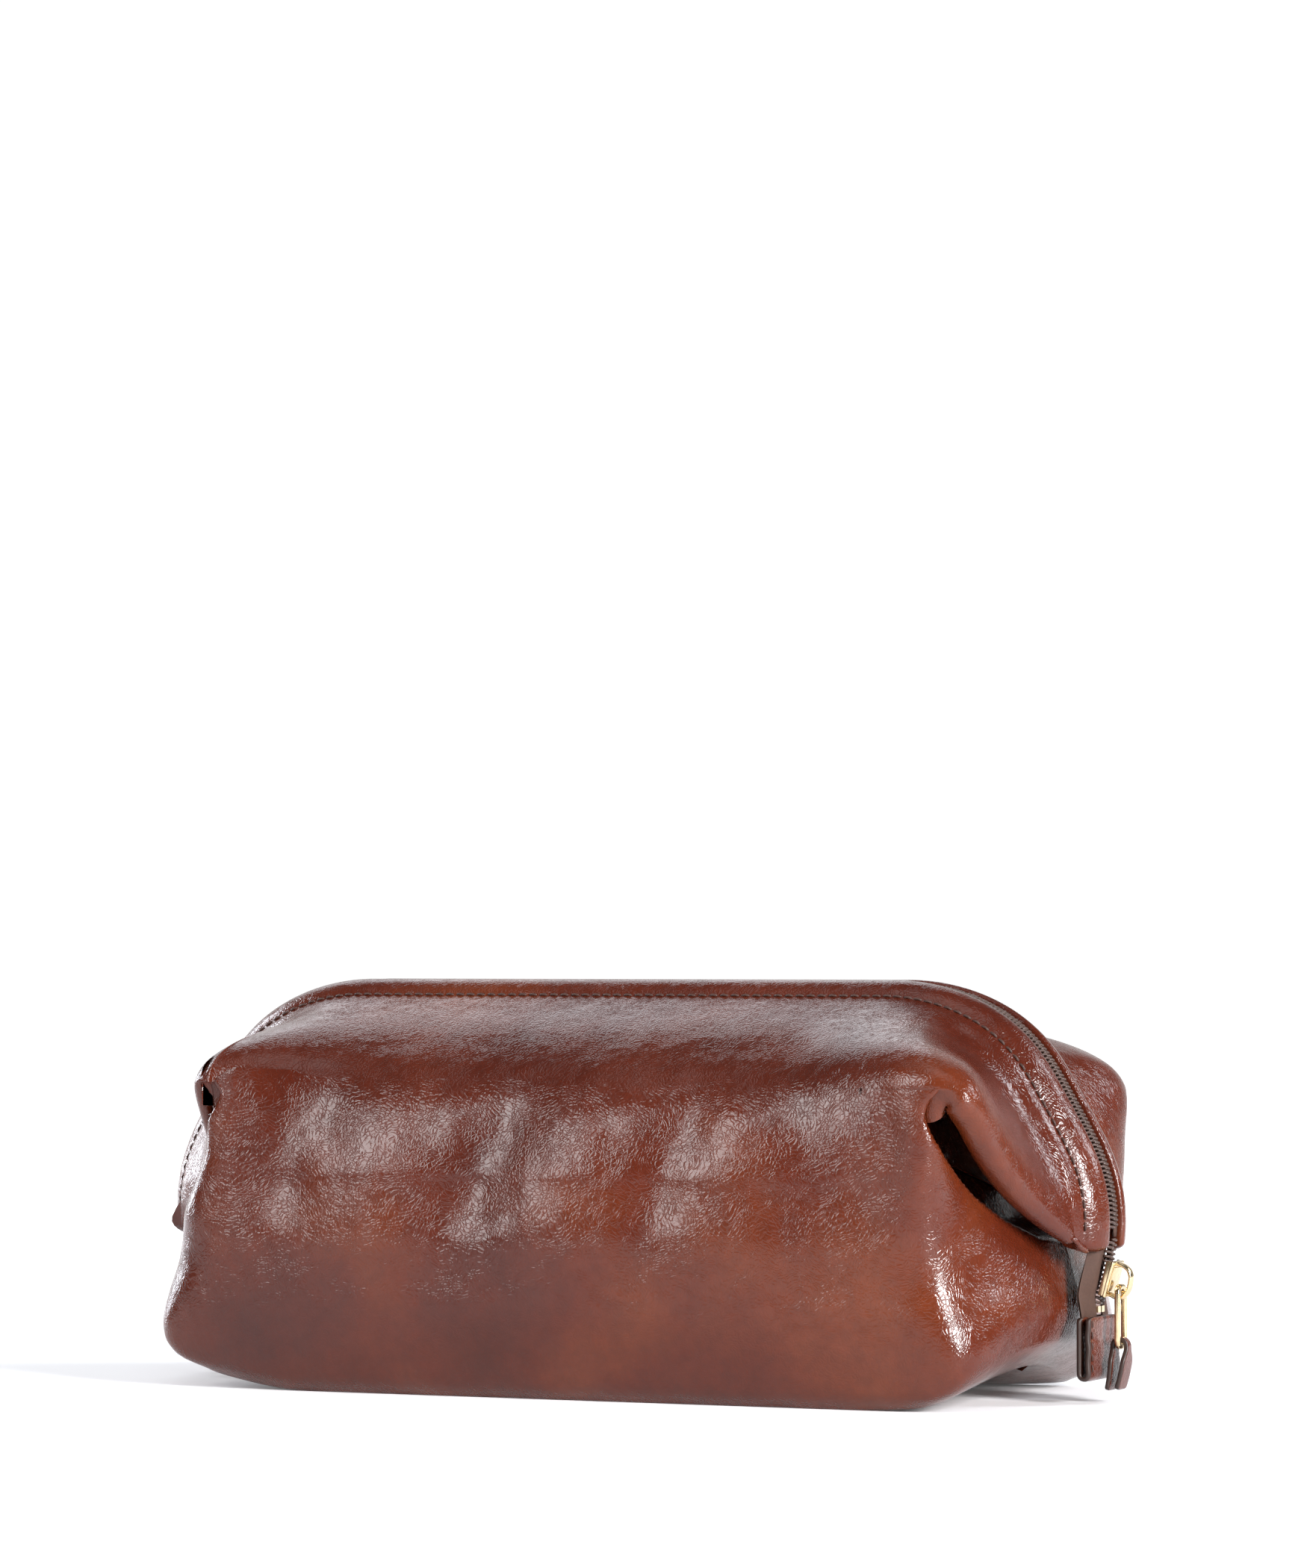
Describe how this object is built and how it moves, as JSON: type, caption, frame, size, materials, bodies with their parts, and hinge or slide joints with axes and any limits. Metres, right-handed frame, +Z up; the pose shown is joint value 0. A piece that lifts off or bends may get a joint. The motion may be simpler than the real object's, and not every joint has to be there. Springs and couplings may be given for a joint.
{
  "type": "framed wash bag",
  "caption": "Soft leather wash bag with a zipped spring-frame mouth, folded corners, brass zip slider with a leather pull, and a cloth lining.",
  "frame": {"origin": "middle of the underside", "axes": "+X along the bag towards the end where the closed zip stops, -Y the front, +Z up"},
  "size_m": [0.3134, 0.1346, 0.1225],
  "materials": {
    "leather": "gloss",
    "lining_fabric": "matte",
    "board": "matte",
    "zip_tape": "woven",
    "zip_coil": "satin",
    "brass": "polished",
    "spring_steel": "satin"
  },
  "bodies": {
    "bag_body": {"front_panel": "leather", "back_panel": "leather", "base_panel": "leather", "base_board": "board", "front_lining": "lining_fabric", "back_lining": "lining_fabric", "base_lining": "lining_fabric", "inner_pocket": "lining_fabric"},
    "frame_pivot": {"right_hinge_rivet": "spring_steel", "left_hinge_rivet": "spring_steel", "right_tail_tape": "zip_tape", "left_tail_tape": "zip_tape", "right_tail_coil": "zip_coil", "left_tail_coil": "zip_coil", "right_zip_stops": "brass", "left_zip_stops": "brass", "right_end_tab": "leather", "left_end_tab": "leather", "right_gusset": "leather", "left_gusset": "leather"},
    "front_frame": {"front_shoulder": "leather", "front_shoulder_lining": "lining_fabric", "front_frame_bar": "spring_steel", "front_hem": "leather", "front_zip_tape": "zip_tape", "front_zip_coil": "zip_coil"},
    "back_frame": {"back_shoulder": "leather", "back_shoulder_lining": "lining_fabric", "back_frame_bar": "spring_steel", "back_hem": "leather", "back_zip_tape": "zip_tape", "back_zip_coil": "zip_coil"},
    "zip_slider": {"slider_body": "brass", "slider_crown": "brass"},
    "zip_link": {"pull_link": "brass"},
    "zip_thong": {"pull_thong": "leather"}
  },
  "joints": [
    {"name": "frame_rise", "type": "slide", "parent": "bag_body", "child": "frame_pivot", "axis": [0, 0, 1], "range_m": [0, 0.0872], "deforming": ["right_gusset", "left_gusset"]},
    {"name": "mouth_open", "type": "hinge", "parent": "frame_pivot", "child": "front_frame", "pos_m": [0, 0, 0.0485], "axis": [1, 0, 0], "range_deg": [0, 66]},
    {"name": "back_open", "type": "hinge", "parent": "frame_pivot", "child": "back_frame", "pos_m": [0, 0, 0.0485], "axis": [-1, 0, 0], "range_deg": [0, 66.2]},
    {"name": "zip_travel", "type": "hinge", "parent": "frame_pivot", "child": "zip_slider", "pos_m": [0.0833, 0, 0.0545], "axis": [0, 1, 0], "range_deg": [-100, 0]},
    {"name": "link_swing", "type": "hinge", "parent": "zip_slider", "child": "zip_link", "pos_m": [0.15202, 0, 0.03371], "axis": [0, 1, 0], "range_deg": [-120, 3]},
    {"name": "thong_swing", "type": "hinge", "parent": "zip_link", "child": "zip_thong", "pos_m": [0.15202, 0, 0.01651], "axis": [0, 1, 0], "range_deg": [-60, 2]}
  ],
  "couplings": [
    {"joint": "frame_rise", "follows": "mouth_open", "m_per_rad": 0.0755},
    {"joint": "back_open", "follows": "mouth_open", "ratio": 1}
  ]
}
